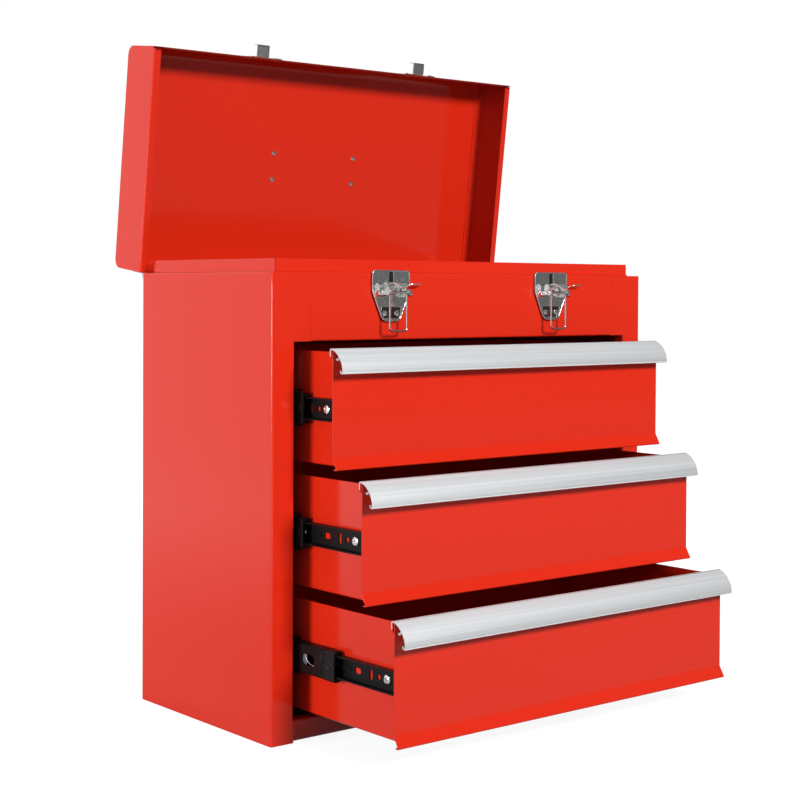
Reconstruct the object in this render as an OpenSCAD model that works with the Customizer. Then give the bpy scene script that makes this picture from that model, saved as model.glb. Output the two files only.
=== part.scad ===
/* [Case] */
// Width of the case over its side panels
case_w = 508; // [460:1:600]
// Depth of the case from front to back
case_d = 237; // [220:1:300]
// Height of the case from the ground to the ledge round its mouth
case_h = 450; // [430:1:520]
// Thickness of the sheet steel
sheet = 1; // [0.8:0.1:1.2]
// Radius of the folds, at the middle of the sheet
fold_r = 1.5; // [1.2:0.1:2]
// Width of the upright stiles beside the drawers
stile_w = 26; // [22:1:32]
// Depth of the flange that each stile turns back into the case
stile_return = 14; // [10:1:18]
// Width of the flanges that hold the back panel
rear_flange = 14; // [10:1:20]
// Height of the band above the drawers
header_h = 66.5; // [60:0.5:80]
// Length of header that each side panel covers, beyond its stile
header_lap = 20; // [14:1:30]
// Height of the rail below the drawers
base_rail_h = 21; // [16:1:26]
// How far the base rail stands back from the stiles
rail_back = 2.7; // [2:0.1:4]
// Width of the ledge that the closed lid rests over
ledge_w = 11; // [9:0.5:14]
// Depth of the ledge along the back
back_ledge = 7; // [6:0.5:9]
// Height of the rim that stands up inside the closed lid
rim_h = 12.9; // [8:0.1:20]
// Radius of the fold between the front ledge and its rim
rim_fold_r = 4.5; // [2:0.5:5.5]

/* [Lid] */
// Height of the lid
lid_h = 53; // [48:1:70]
// Gap between the closed lid and the ledge
lid_gap = 0.3; // [0.2:0.1:1]
// Angle at which the open lid stands
lid_open = 83; // [0:1:83]
// Radius of the lid's long folds
lid_fold_r = 9.5; // [6:0.5:12]
// Width of the flange round the lid's ends
lid_end_flange = 10; // [7:1:14]
// Width of the flange along the mouth of each lid end
mouth_flange = 8.5; // [6:0.5:9.5]
// Height of the doubled hem along the lid's front edge
lid_hem = 6.5; // [5:0.5:9]

/* [Hinge] */
// Radius of the hinge barrel
barrel_r = 2.5; // [2.2:0.1:3]
// Radius of the hinge pin
hinge_pin_r = 1.25; // [1:0.05:1.4]
// Distance of the pin behind the back of the case
pin_back = 2.7; // [2.6:0.1:3.2]
// Distance of the pin below the lid's mouth
pin_drop = 3.1; // [2.9:0.1:3.6]
// Thickness of the hinge leaves
leaf_t = 0.9; // [0.7:0.1:1]
// Height of each hinge leaf
leaf_h = 21; // [16:1:26]
// How far the hinge stops short of each side of the case
hinge_inset = 2; // [1:0.5:20]
// Number of knuckles on the whole hinge
knuckles = 21; // [11:2:25]

/* [Drawers] */
// How far each drawer stands out of the case, top drawer first
drawer_out = [53.7, 98.35, 145.5]; // [0:0.05:190]
// Gap at each side of a drawer front
side_gap = 5; // [3:0.5:8]
// Gap above the top drawer front
gap_top = 5; // [3:0.5:8]
// Gap between two drawer fronts
gap_between = 6; // [3:0.5:10]
// Gap below the bottom drawer front
gap_bottom = 4.4; // [3:0.1:8]
// Space behind the closed drawers
rear_space = 19; // [14:1:30]
// How far the foot of each front flares out
flare_out = 6.5; // [4:0.5:8]
// Height of the flare
flare_h = 11.6; // [8:0.1:16]
// How far the flare turns back under itself
flare_hem = 5; // [3:0.5:6]
// Height of the tray's bottom above the tip of the flare
tray_lift = 2.6; // [2:0.1:5]
// Space between the top of the tray and the inside of the front's fold
tray_top_gap = 1.4; // [1:0.1:4]
// Height of the doubled hem round the tray
tray_hem = 8; // [5:1:12]

/* [Pulls] */
// Thickness of the pull strips
pull_t = 1.2; // [1:0.1:1.4]
// Radius of the pull's bowed face
pull_r = 22.9; // [21:0.1:25]
// Depth of the lip that clips over the drawer front
pull_lip = 7.5; // [5:0.5:8.5]

/* [Slides] */
// Overall thickness of a slide
slide_w = 12.7; // [12.7:0.1:13.5]
// Height of the outer member
outer_h = 35; // [34:0.5:38]
// Height of the middle member
mid_h = 28.5; // [28:0.1:29]
// Height of the inner member
inner_h = 21.2; // [20:0.1:22.5]
// Thickness of the outer and inner members
member_t = 1.2; // [1:0.1:1.3]
// Thickness of the middle member
mid_t = 1.1; // [1:0.1:1.2]
// Height of the slides' centre line above the tip of the flare, top drawer first
slide_rise = [55.5, 56.2, 57]; // [50:0.1:60]
// How far each middle member lies behind the stiles with its drawer shut
mid_back = [18.5, 40.75, 14.5]; // [10:0.25:45]
// Length of the plastic block at the front of each middle member
block_len = 14; // [10:1:36]
// Height of that block
block_h = 29.4; // [28.5:0.1:30]
// Depth of the posts that carry the slides
post_depth = 27; // [24:0.5:32]
// Width of each post
post_w = 28; // [22:1:36]

/* [Latches] */
// Distance of each latch from the middle of the case
latch_x = 111.5; // [90:0.5:140]
// Width of the latch plates
latch_w = 48; // [44:1:56]
// Height of the latch plates
latch_h = 51; // [50:0.5:54]
// How far the latch plates stand up in front of the lid's edge
latch_lip = 2.6; // [1:0.1:2.8]
// Width of the knuckle at each end of the lever's pivot
latch_knuckle = 7.5; // [2:0.5:8]
// Thickness of the latch plates and catches
plate_t = 1.2; // [1:0.1:1.4]
// Distance of the lever's pivot in front of the case
pivot_out = 7; // [6.5:0.1:8]
// Depth of the lever's pivot below the ledge
pivot_drop = 20.5; // [19:0.5:22]
// Length of the lever beyond its pivot
lever_len = 35; // [32:1:38]
// Radius of the bail's wire
wire_r = 1; // [0.8:0.05:1.1]
// Distance between the centre lines of the bail's legs
bail_w = 21.6; // [21:0.2:23]
// Length of the bail from its pin to its cross wire
bail_len = 38.5; // [38:0.1:39]
// Radius of the bail's pin
bail_pin_r = 1.25; // [1:0.05:1.3]

/* [Handle] */
// Distance of each handle bracket from the middle of the lid
bracket_x = 57.5; // [50:0.5:75]
// Distance of the bracket's rivets from its pivot
rivet_reach = 15; // [13:0.5:18]
// Radius of the handle's rod
rod_r = 4; // [3:0.1:4.5]
// Radius of the grip
grip_r = 6; // [5:0.1:6.3]
// Length of the handle's legs
handle_reach = 42; // [36:1:60]

/* [Fits] */
// Radial clearance of the hinge pin and the bail's pin in their holes
pin_clear = 0.07; // [0.03:0.01:0.1]
// Clearance between faces that slide past each other
run_clear = 0.3; // [0.2:0.05:0.5]
// Clearance of the ball cages between the slide members
cage_clear = 0.1; // [0.05:0.05:0.2]

/* [Hidden] */
$fn = 32;

red = [0.85, 0.16, 0.1];
grey = [0.8, 0.81, 0.83];
steel = [0.62, 0.64, 0.66];
black = [0.1, 0.1, 0.11];

half_w = case_w / 2;
front_y = -case_d / 2;
back_y = case_d / 2;
half_sheet = sheet / 2;
seat_gap = 0.2;                              // between sheets that are welded edge to face

// the opening for the drawers
open_half = half_w - stile_w;
open_bottom = base_rail_h;
open_top = case_h - header_h;
seam_half = open_half - header_lap;
rim_top = case_h + rim_h;
rim_x = half_w - ledge_w + half_sheet;
rim_front_y = front_y + ledge_w - half_sheet;
rim_back_y = back_y - back_ledge + half_sheet;
rail_fold_r = 4;
upturn_h = 12;
ledge_strip = 11;                            // width of the angle strips under the till's floor
floor_lap = 20;                              // of the base rail and the rear strip on the base panel
post_inset = 30;                             // from the front and back of the case to each post
post_flange = 12;

// drawers
drawer_n = len(drawer_out);
front_h = (open_top - open_bottom - gap_top - gap_bottom - (drawer_n - 1) * gap_between) / drawer_n;
front_half = open_half - side_gap;
post_half = half_w - sheet - post_depth;
tray_half = post_half - slide_w;
tray_len = case_d - rear_space;
front_fold_z = pull_t + sheet;               // from the top of the pull to the inside of the fold
tray_h = front_h - tray_lift - front_fold_z - tray_top_gap;
pull_seat = 3.8;                             // from the front's face to the back of its folded edge
front_lip = 9;                               // height of that edge

// slides, all cut to suit the depth of the case
slide_margin = 37;                           // of the outer members against the case's depth
outer_front = 4;
outer_len = case_d - slide_margin;
inner_len = outer_len - 5;
mid_len = outer_len - 30;
inner_set_back = 3;
outer_gap = (outer_h - 2 * member_t - mid_h) / 2;
inner_gap = (mid_h - 2 * mid_t - inner_h) / 2;
outer_arm = 10;                              // how far each member's arms reach from the post's face
mid_arm = 11;
inner_arm = 4.5;
cage_split = 95;                             // from the front of the middle member to between its cages

// levers, bails and catches
pivot_z = case_h - pivot_drop;
latch_top = case_h + latch_lip;
latch_shoulder = latch_top - 21;
latch_foot = latch_top - latch_h;
latch_foot_half = 11;
latch_rivet_z = latch_foot + 8.4;
latch_well = [[-12.6, 6.2], [-12, -1.5], [-8.5, -5], [8.5, -5], [12, -1.5], [12.6, 6.2]];
groove_half = 3;                             // of the stripe down the middle of the plate
groove_len = 14;
ear_x = 13.5;                                // inner end of each knuckle
knuckle_r = 3.3;
lug_t = 1;
stub_r = 1.5;
bail_pin_at = [6.5, 1.5];                    // out and up from the lever's pivot
latch_rivet_x = 7.7;
rivet_hole_r = 2.05;
eye_r = 2.5;
hook_z = 9.2;                                // of the catch's tray above the lid's mouth
hook_out = 14.3;
hook_lip_h = 6.4;
catch_w = 50;
catch_low = 3;                               // foot and top of the catch above the lid's mouth
catch_high = 17;
catch_rivet_x = 18;
bail_bend = 3.5;
hook_w = bail_w - 2 * bail_bend + 1.6;       // bears on the straight of the bail's cross wire

// lid, drawn shut
mouth_z = case_h + lid_gap;
lid_top = mouth_z + lid_h;
hinge_y = back_y + pin_back;
hinge_z = mouth_z - pin_drop;
hinge_half = half_w - hinge_inset;
knuckle_w = 2 * hinge_half / knuckles;
handle_z = lid_top + grip_r + run_clear + 0.3;
bracket_half = 9;                            // half the width of each handle bracket

function unit(v) = v / norm(v);
function turn_left(v) = [-v[1], v[0]];
function bend_angle(a, b) = atan2(a[0] * b[1] - a[1] * b[0], a * b);
function pick(r, i) = is_list(r) ? r[i] : r;
function backwards(p) = [for (i = [len(p) - 1:-1:0]) p[i]];

// arc of radius r that rounds corner p between points a and b, moved sideways by off
function corner(a, p, b, r, off, n) =
    let (u = unit(p - a), v = unit(b - p), angle = bend_angle(u, v), way = sign(angle),
         centre = p - u * r * tan(abs(angle) / 2) + turn_left(u) * way * r,
         start = atan2(-turn_left(u)[1] * way, -turn_left(u)[0] * way))
    abs(angle) < 0.01 || r == 0 && off == 0 ? [p + off * turn_left(u)] :
    [for (j = [0:n])
        centre + (r - way * off) * [cos(start + angle * j / n), sin(start + angle * j / n)]];

// a line of points with its corners rounded, moved sideways by off
function rounded_path(p, r, off, n) = [for (i = [0:len(p) - 1]) each
    i == 0 ? [p[0] + off * turn_left(unit(p[1] - p[0]))]
    : i == len(p) - 1 ? [p[i] + off * turn_left(unit(p[i] - p[i - 1]))]
    : corner(p[i - 1], p[i], p[i + 1], pick(r, i), off, n)];

// a closed outline with its corners rounded
function rounded(p, r, n = 6) = [for (i = [0:len(p) - 1]) each
    corner(p[(i + len(p) - 1) % len(p)], p[i], p[(i + 1) % len(p)], pick(r, i), 0, n)];

// section of a bent sheet that follows the line p
module strip(p, t = sheet, r = fold_r, n = 4) {
    polygon(concat(rounded_path(p, r, t / 2, n), backwards(rounded_path(p, r, -t / 2, n))));
}

// each stands a drawing up and gives it a length along one axis
module along_x(x0, x1) { translate([x0, 0, 0]) rotate([90, 0, 90]) linear_extrude(x1 - x0) children(); }
module along_y(y0, y1) { translate([0, y1, 0]) rotate([90, 0, 0]) linear_extrude(y1 - y0) children(); }
module along_z(z0, z1) { translate([0, 0, z0]) linear_extrude(z1 - z0) children(); }

// a drawing of distance out of the front against height, given a length along x
module out_along_x(x0, x1) { translate([0, front_y, 0]) mirror([0, 1, 0]) along_x(x0, x1) children(); }
// a drawing of width against height, standing out of the front from d0 to d1
module on_front(d0, d1) { along_y(front_y - d1, front_y - d0) children(); }
module rod_x(x0, x1, r) { translate([x0, 0, 0]) rotate([0, 90, 0]) cylinder(h = x1 - x0, r = r); }
module rod_y(y0, y1, r) { translate([0, y0, 0]) rotate([-90, 0, 0]) cylinder(h = y1 - y0, r = r); }
module to_side(side) { mirror([side == "right" ? 1 : 0, 0, 0]) children(); }
module both_sides() { children(); mirror([1, 0, 0]) children(); }

// ---- case ----

module side_panel() {
    wall = -half_w + half_sheet;
    front = front_y + half_sheet;
    back = back_y - half_sheet;
    back_fold = [[wall, front], [wall, back], [-half_w + rear_flange, back]];
    stile = -open_half - half_sheet;
    fold_z = case_h - 2 * fold_r;
    color(red) {
        along_z(0, open_bottom) strip(concat([[-open_half, front]], back_fold));
        along_z(open_bottom, open_top)
            strip(concat([[stile, front_y + stile_return], [stile, front]], back_fold));
        along_z(open_top, fold_z) strip(concat([[-seam_half, front]], back_fold));
        along_z(fold_z, case_h) {
            strip([[-seam_half, front], [wall, front], [wall, front + 3 * fold_r]]);
            strip([[wall, back_y - back_ledge - seat_gap], [wall, back], [-half_w + rear_flange, back]]);
        }
        side_ledge(wall);
    }
}

// the ledge, and the rim that stands up from it between the front and back corners
module side_ledge(wall) {
    ledge_z = case_h - half_sheet;
    y0 = rim_front_y + half_sheet + seat_gap;
    y1 = back_y - back_ledge - seat_gap;
    rim_fold = case_h + 2 * fold_r;
    along_y(front_y + sheet, y1)
        strip([[wall, case_h - 4 * fold_r], [wall, ledge_z], [-rim_x + half_sheet, ledge_z]]);
    along_y(y0, y1) strip([[wall + 4 * fold_r, ledge_z], [-rim_x, ledge_z], [-rim_x, rim_fold]]);
    along_x(-rim_x - half_sheet, -rim_x + half_sheet)
        polygon(rounded([[y0, rim_fold], [y1, rim_fold], [y1, rim_top], [y0, rim_top]], [0, 0, 4, 2]));
}

module back_panel() {
    y = back_y - 1.5 * sheet;
    side = half_w - half_sheet - fold_r - seat_gap;
    color(red) {
        along_x(-side, side)
            strip([[y, seat_gap], [y, case_h - half_sheet], [rim_back_y - half_sheet, case_h - half_sheet]]);
        along_x(-rim_x - half_sheet, rim_x + half_sheet)
            strip([[y, case_h - half_sheet], [rim_back_y, case_h - half_sheet], [rim_back_y, rim_top]]);
    }
}

// the band above the drawers, lapped behind the ends of the side panels
module header_panel() {
    front = front_y + half_sheet;
    lap = front_y + 1.5 * sheet;
    ledge_z = case_h - half_sheet;
    ledge = [[rim_front_y, ledge_z], [rim_front_y, rim_top]];
    lap_end = open_half - 4 * fold_r;
    color(red) {
        difference() {
            along_x(-seam_half + seat_gap / 2, seam_half - seat_gap / 2)
                strip(concat([[front_y + stile_return, open_top + half_sheet],
                              [front, open_top + half_sheet], [front, ledge_z]], ledge),
                      r = [0, fold_r, fold_r, rim_fold_r, 0]);
            for (side = [-1, 1]) translate([side * latch_x, 0, 0]) latch_rivet_holes();
        }
        both_sides() {
            along_x(seam_half - 8 * sheet, lap_end)
                strip(concat([[lap, open_top + sheet], [lap, ledge_z]], ledge),
                      r = [0, fold_r, rim_fold_r, 0]);
            along_x(lap_end, rim_x - sheet)
                strip(concat([[front_y + sheet + seat_gap, ledge_z]], ledge), r = rim_fold_r);
        }
    }
}

module base_panel() {
    side = half_w - sheet - seat_gap - half_sheet;
    rail_y = front_y + rail_back + half_sheet;
    rail_top = base_rail_h - half_sheet;
    back = back_y - 2.5 * sheet;
    color(red) {
        along_y(front_y + floor_lap / 2, back_y - 2 * sheet)
            strip([[-side, upturn_h], [-side, half_sheet], [side, half_sheet], [side, upturn_h]]);
        along_x(-open_half + seat_gap, open_half - seat_gap)
            strip([[front_y + stile_return, rail_top], [rail_y, rail_top], [rail_y, half_sheet],
                   [front_y + floor_lap, half_sheet]], r = [0, fold_r, rail_fold_r, 0], n = 6);
        along_x(-side + fold_r, side - fold_r)
            strip([[back - floor_lap, half_sheet], [back, half_sheet], [back, upturn_h]]);
    }
}

// the floor of the till under the lid, on angle strips along the sides and the back
module till_floor() {
    side = half_w - sheet - seat_gap;
    z = open_top + sheet + seat_gap;
    wall = half_w - 1.5 * sheet;
    back = back_y - 2.5 * sheet;
    under = z - seat_gap - half_sheet;
    front = front_y + 2 * sheet + seat_gap;
    color(red) {
        translate([-side, front, z]) cube([2 * side, back_y - 2 * sheet - seat_gap - front, sheet]);
        both_sides() along_y(front_y + stile_return + ledge_strip, back - 2 * ledge_strip)
            strip([[-wall, under - ledge_strip], [-wall, under], [-wall + ledge_strip, under]]);
        along_x(-wall + 2 * ledge_strip, wall - 2 * ledge_strip)
            strip([[back, under - ledge_strip], [back, under], [back - ledge_strip, under]]);
    }
}

module slide_posts() {
    foot = -half_w + 1.5 * sheet;
    crown = -post_half - half_sheet;
    color(steel) both_sides() for (y0 = [front_y + post_inset, back_y - post_inset - 2 - post_w])
        along_z(upturn_h + 1, open_top - ledge_strip - 3)
            strip([[foot, y0 - post_flange], [foot, y0], [crown, y0], [crown, y0 + post_w],
                   [foot, y0 + post_w], [foot, y0 + post_w + post_flange]]);
}

// ---- hinge ----

module hinge_knuckles(first, r) {
    for (i = [first:2:knuckles - 1]) {
        x0 = -hinge_half + i * knuckle_w + run_clear / 2;
        translate([0, hinge_y, hinge_z]) rod_x(x0, x0 + knuckle_w - run_clear, r);
    }
}

// one half of the hinge: a leaf from z0 to z1 with every other knuckle
module hinge_leaf(first, z0, z1) {
    difference() {
        union() {
            translate([-hinge_half, back_y, z0]) cube([2 * hinge_half, leaf_t, z1 - z0]);
            for (i = [first:2:knuckles - 1]) {
                x0 = -hinge_half + i * knuckle_w + run_clear / 2;
                translate([x0, back_y, min(z0, hinge_z)])
                    cube([knuckle_w - run_clear, leaf_t, max(z1, hinge_z) - min(z0, hinge_z)]);
            }
            hinge_knuckles(first, barrel_r);
        }
        translate([0, hinge_y, hinge_z]) rod_x(-half_w, half_w, hinge_pin_r + pin_clear);
    }
}

module case_hinge_leaf() {
    color(steel) hinge_leaf(0, hinge_z - leaf_h, hinge_z - barrel_r - run_clear);
}

module hinge_pin() {
    color(steel) translate([0, hinge_y, hinge_z]) rod_x(-hinge_half, hinge_half, hinge_pin_r);
}

// ---- lid ----

// turns what is drawn on the shut lid to where the open lid carries it
module on_lid() {
    translate([0, hinge_y, hinge_z]) rotate([-lid_open, 0, 0])
        translate([0, -hinge_y, -hinge_z]) children();
}

module lid_hinge_leaf() {
    color(steel) on_lid() hinge_leaf(1, hinge_z + barrel_r + run_clear, hinge_z + leaf_h);
}

// the middle of the lid's sheet, front edge to rear edge, moved inwards by inset
function lid_section(inset, z0) = [
    [front_y + inset, z0], [front_y + inset, lid_top - inset],
    [back_y - inset, lid_top - inset], [back_y - inset, z0]];

module lid_panel() {
    hem_y = front_y + 1.5 * sheet;
    color(red) on_lid() difference() {
        union() {
            along_x(-half_w, half_w)
                strip(lid_section(half_sheet, mouth_z), r = lid_fold_r - half_sheet, n = 8);
            along_x(-half_w + 3 * mouth_flange / 2, half_w - 3 * mouth_flange / 2)
                polygon(rounded([[front_y + sheet, mouth_z], [front_y + 2 * sheet, mouth_z],
                    [front_y + 2 * sheet, mouth_z + lid_hem], [front_y + sheet, mouth_z + lid_hem]],
                    [0, 0.6, 0, 0]));
        }
        rivet_holes();
    }
}

module lid_end() {
    inner = -half_w + half_sheet;
    color(red) on_lid() {
        along_x(-half_w, -half_w + sheet)
            polygon(rounded(backwards(lid_section(sheet, mouth_z + 3)),
                            [0, lid_fold_r - sheet, lid_fold_r - sheet, 0], 8));
        along_y(front_y + 2 * sheet, back_y - sheet)
            strip([[-half_w + mouth_flange, mouth_z + half_sheet], [inner, mouth_z + half_sheet],
                   [inner, mouth_z + 4]]);
        along_x(-half_w, -half_w + lid_end_flange)
            strip(lid_section(1.5 * sheet, mouth_z + 8), r = lid_fold_r - 1.5 * sheet, n = 8);
    }
}

// ---- handle ----

module handle_rivet_places() {
    for (side = [-1, 1], end = [-1, 1]) translate([side * bracket_x, end * rivet_reach, lid_top]) children();
}

module catch_rivet_places() {
    for (side = [-1, 1], end = [-1, 1])
        translate([side * latch_x + end * catch_rivet_x, front_y, mouth_z + (catch_low + catch_high) / 2])
            children();
}

module rivet_holes() {
    handle_rivet_places() translate([0, 0, -3]) cylinder(h = 4, r = rivet_hole_r);
    catch_rivet_places() rod_y(-1, 3, rivet_hole_r);
}

// a rivet that stands on the plane z = 0: head above t of plate, tail below the sheet
module rivet(t, shank_r = 2, head_r = 3.6, head_h = 1.2) {
    rotate_extrude() polygon([[0, t + head_h], [0.45 * head_r, t + 0.92 * head_h],
        [0.8 * head_r, t + 0.65 * head_h], [head_r, t], [shank_r, t], [shank_r, -sheet],
        [1.5 * shank_r, -sheet], [1.3 * shank_r, -sheet - 1], [0, -sheet - 1.2]]);
}

module lid_rivets() {
    color(steel) on_lid() {
        handle_rivet_places() rivet(plate_t);
        catch_rivet_places() rotate([90, 0, 0]) rivet(plate_t);
    }
}

module handle_brackets() {
    saddle_r = rod_r + run_clear + plate_t / 2;
    foot = rivet_reach + 7;
    arch_z = handle_z + saddle_r;
    z = lid_top + plate_t / 2;
    color(steel) on_lid() for (side = [-1, 1]) translate([side * bracket_x, 0, 0]) difference() {
        along_x(-bracket_half, bracket_half)
            strip([[-foot, z], [-saddle_r, z], [-saddle_r, arch_z], [saddle_r, arch_z],
                   [saddle_r, z], [foot, z]], t = plate_t,
                  r = [0, fold_r, saddle_r - 0.01, saddle_r - 0.01, fold_r, 0], n = 10);
        for (end = [-1, 1]) translate([0, end * rivet_reach, lid_top - 1]) cylinder(h = 4, r = rivet_hole_r);
    }
}

module carry_handle() {
    leg_x = bracket_x + bracket_half + run_clear + 2 + 2 * rod_r;
    stub_x = bracket_x - bracket_half - 1;
    bend = 2 * rod_r;
    color(steel) on_lid() translate([0, 0, handle_z]) both_sides() {
        rod_x(stub_x, leg_x - bend, rod_r);
        translate([leg_x - bend, bend, 0]) rotate([0, 0, -90]) rotate_extrude(angle = 90)
            translate([bend, 0]) circle(rod_r);
        translate([leg_x, 0, 0]) rod_y(bend, handle_reach - bend, rod_r);
        translate([leg_x - bend, handle_reach - bend, 0]) rotate_extrude(angle = 90)
            translate([bend, 0]) circle(rod_r);
        translate([0, handle_reach, 0]) rod_x(0, leg_x - bend, rod_r);
        translate([0, handle_reach, 0]) rod_x(0, leg_x - bend - 8, grip_r);
    }
}

// ---- latches and catches ----

module latch_rivet_places() {
    for (end = [-1, 1]) translate([end * latch_rivet_x, front_y, latch_rivet_z]) children();
}

module latch_rivet_holes() { latch_rivet_places() rod_y(-4, 3, rivet_hole_r); }

module case_rivets() {
    color(steel) for (side = [-1, 1]) translate([side * latch_x, 0, 0])
        latch_rivet_places() rotate([90, 0, 0]) rivet(plate_t);
}

// outline of a latch plate about its middle, drawn in by e
function latch_outline(e) =
    let (w = latch_w / 2 - e, foot = latch_foot_half - 0.8 * e, shoulder = latch_shoulder + 0.2 * e)
    rounded([[-w, latch_top - e], [-w, shoulder], [-foot, latch_foot + e], [foot, latch_foot + e],
             [w, shoulder], [w, latch_top - e]], [4 - e / 2, 14, 9, 9, 14, 4 - e / 2]);

module latch_plate() {
    face = 2 * plate_t;
    bevel = plate_t / 2;
    color(steel) {
        difference() {
            union() {
                on_front(0, face - bevel) polygon(latch_outline(0));
                on_front(face - bevel, face) polygon(latch_outline(bevel));
            }
            latch_rivet_holes();
            on_front(plate_t, face + 1) {
                latch_groove();
                translate([0, latch_rivet_z]) polygon(rounded(latch_well, [1, 3, 3, 3, 3, 1]));
            }
            // stands clear of the shut lid's front
            translate([-latch_w, front_y - run_clear, case_h - seat_gap])
                cube([2 * latch_w, 1, 2 * latch_lip]);
        }
        both_sides() {
            out_along_x(ear_x, ear_x + latch_knuckle)
                translate([0, pivot_z])
                    polygon(rounded([[plate_t, -knuckle_r], [pivot_out + knuckle_r, -knuckle_r],
                                     [pivot_out + knuckle_r, knuckle_r], [plate_t, knuckle_r]],
                                    [0, knuckle_r - 0.01, knuckle_r - 0.01, 0], 8));
            translate([0, front_y - pivot_out, pivot_z]) {
                rod_x(ear_x - lug_t - run_clear, ear_x, stub_r);
                rod_x(ear_x + latch_knuckle, ear_x + latch_knuckle + 0.8, 0.7 * knuckle_r);
            }
        }
    }
}

// the sunk stripe down the middle of the plate's upper half
module latch_groove() {
    polygon(rounded([[-groove_half, latch_top - groove_len], [groove_half, latch_top - groove_len],
                     [groove_half, latch_top + 1], [-groove_half, latch_top + 1]], 0.8));
}

// the lever's wave, measured out and up from its pivot
lever_wave = [[-1.4, 9.2], [3, 10.3], [9, 10.4], [lever_len - 17, 5.4], [lever_len - 11, 4.6],
              [lever_len - 5, 7.6], [lever_len, 9.4]];
// the sides under it, the same way
lever_lug = [[-3, -3], [7.5, -1.5], [9.5, 0.5], [9.5, 4], [3.6, 10.3], [-1.3, 9.2], [-3, 3]];

module latch_lever() {
    side = ear_x - run_clear;
    waist = bail_w / 2 - wire_r - 0.6;
    half = [[side, -4], [side, 3.8], [waist, 4.8], [waist - 3.8, lever_len - 17], [7, lever_len - 5],
            [5.5, lever_len + 1]];
    outline = rounded(concat(half, backwards([for (at = half) [-at[0], at[1]]])),
                      [1, 0.5, 0.5, 8, 6, 3, 3, 6, 8, 0.5, 0.5, 1]);
    pivot = [pivot_out, pivot_z];
    pin = pivot + bail_pin_at;
    color(steel) {
        intersection() {
            out_along_x(-side, side)
                translate(pivot) strip(lever_wave, t = 1.1, r = [0, 5, 6, 7, 5, 5, 0], n = 5);
            translate([0, front_y - pivot_out, pivot_z]) mirror([0, 1, 0]) along_z(-5, 14) polygon(outline);
        }
        both_sides() difference() {
            out_along_x(side - lug_t, side)
                translate(pivot) polygon(rounded(lever_lug, [2.5, 1, 1, 3, 0.3, 0, 2], 4));
            translate([0, front_y - pivot_out, pivot_z]) rod_x(0, half_w / 2, stub_r + pin_clear);
            translate([0, front_y - pin[0], pin[1]]) rod_x(0, half_w / 2, bail_pin_r + pin_clear);
        }
    }
}

module latch_pin() {
    end = ear_x - run_clear;
    color(steel) translate([0, front_y - pivot_out - bail_pin_at[0], pivot_z + bail_pin_at[1]])
        rod_x(-end, end, bail_pin_r);
}

module latch_bail() {
    leg = bail_w / 2;
    bend = bail_bend;
    color(steel) translate([0, front_y - pivot_out - bail_pin_at[0], pivot_z + bail_pin_at[1]]) {
        both_sides() {
            difference() {
                union() {
                    rod_x(leg - wire_r, leg + wire_r, eye_r);
                    translate([leg, 0, bend - bail_len]) cylinder(h = bail_len - bend - 1.6, r = wire_r);
                }
                rod_x(0, 2 * leg, bail_pin_r + pin_clear);
            }
            translate([leg - bend, 0, bend - bail_len]) rotate([90, 0, 0]) rotate([0, 0, -90])
                rotate_extrude(angle = 90) translate([bend, 0]) circle(wire_r);
            translate([0, 0, -bail_len]) rod_x(0, leg - bend, wire_r);
        }
    }
}

module lid_catch() {
    w = hook_w / 2;
    half = catch_w / 2;
    mid = plate_t / 2;
    color(steel) on_lid() translate([-latch_x, 0, 0]) difference() {
        union() {
            on_front(0, plate_t) difference() {
                polygon(rounded([[-half, mouth_z + catch_low], [half, mouth_z + catch_low],
                                 [half, mouth_z + catch_high], [-half, mouth_z + catch_high]],
                                (catch_high - catch_low) / 2 - 0.1, 8));
                polygon([[-w, mouth_z], [w, mouth_z], [w, mouth_z + hook_z - mid],
                         [-w, mouth_z + hook_z - mid]]);
            }
            out_along_x(-w, w) translate([0, mouth_z])
                strip([[mid, hook_z + 6], [mid, hook_z], [hook_out, hook_z], [hook_out, hook_z + hook_lip_h]],
                      t = plate_t, r = 1.6);
        }
        translate([latch_x, 0, 0]) catch_rivet_places() rod_y(-3, 1, rivet_hole_r);
    }
}

// ---- drawers, numbered from the top ----

function pull_top(n) = open_top - gap_top - (n - 1) * (front_h + gap_between);
function flare_z(n) = pull_top(n) - front_h;
function slide_z(n) = flare_z(n) + slide_rise[n - 1];
function face_y(n) = front_y - drawer_out[n - 1];
function mid_front(n) = front_y + mid_back[n - 1] - drawer_out[n - 1] / 2;
function inner_front(n) = face_y(n) + inner_set_back;

// where the screws go through each inner member and the tray, from the member's front
screw_places = [17, inner_len / 2, inner_len - 15];
screw_r = 2;
screw_head_r = 4.8;
screw_head_h = 2.4;

// holes in the web of each inner member: distance from its front, length and height, corner radius
member_holes = [[30, [5.2, 5.2], 2.55], [41.2, [4.2, 10.2], 2.05], [60.6, [9, 5.8], 2]];
bead_at = 79;
bead = [19, 4.4, 0.8];                       // length, height, and how far it stands out

// windows in the web of each middle member, the same distance from its front and its rear
mid_window_at = 41;
mid_window = [20, 10.4];

module screw_holes(n, r) {
    for (at = screw_places)
        translate([0, inner_front(n) + at, slide_z(n)]) both_sides() rod_x(tray_half - 4, tray_half + 4, r);
}

// a wall between the tray's sides and under their hems, from y0 to y1
module tray_end(y0, y1, z0, z1) {
    half = tray_half - sheet - seat_gap;
    top = half - sheet;
    under = z1 - tray_hem - seat_gap;
    fold = 2 * fold_r;
    along_y(y0, y1)
        polygon([[-top, z1], [-top, under], [-half, under], [-half, z0 + fold], [-half + fold, z0],
                 [half - fold, z0], [half, z0 + fold], [half, under], [top, under], [top, z1]]);
}

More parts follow.
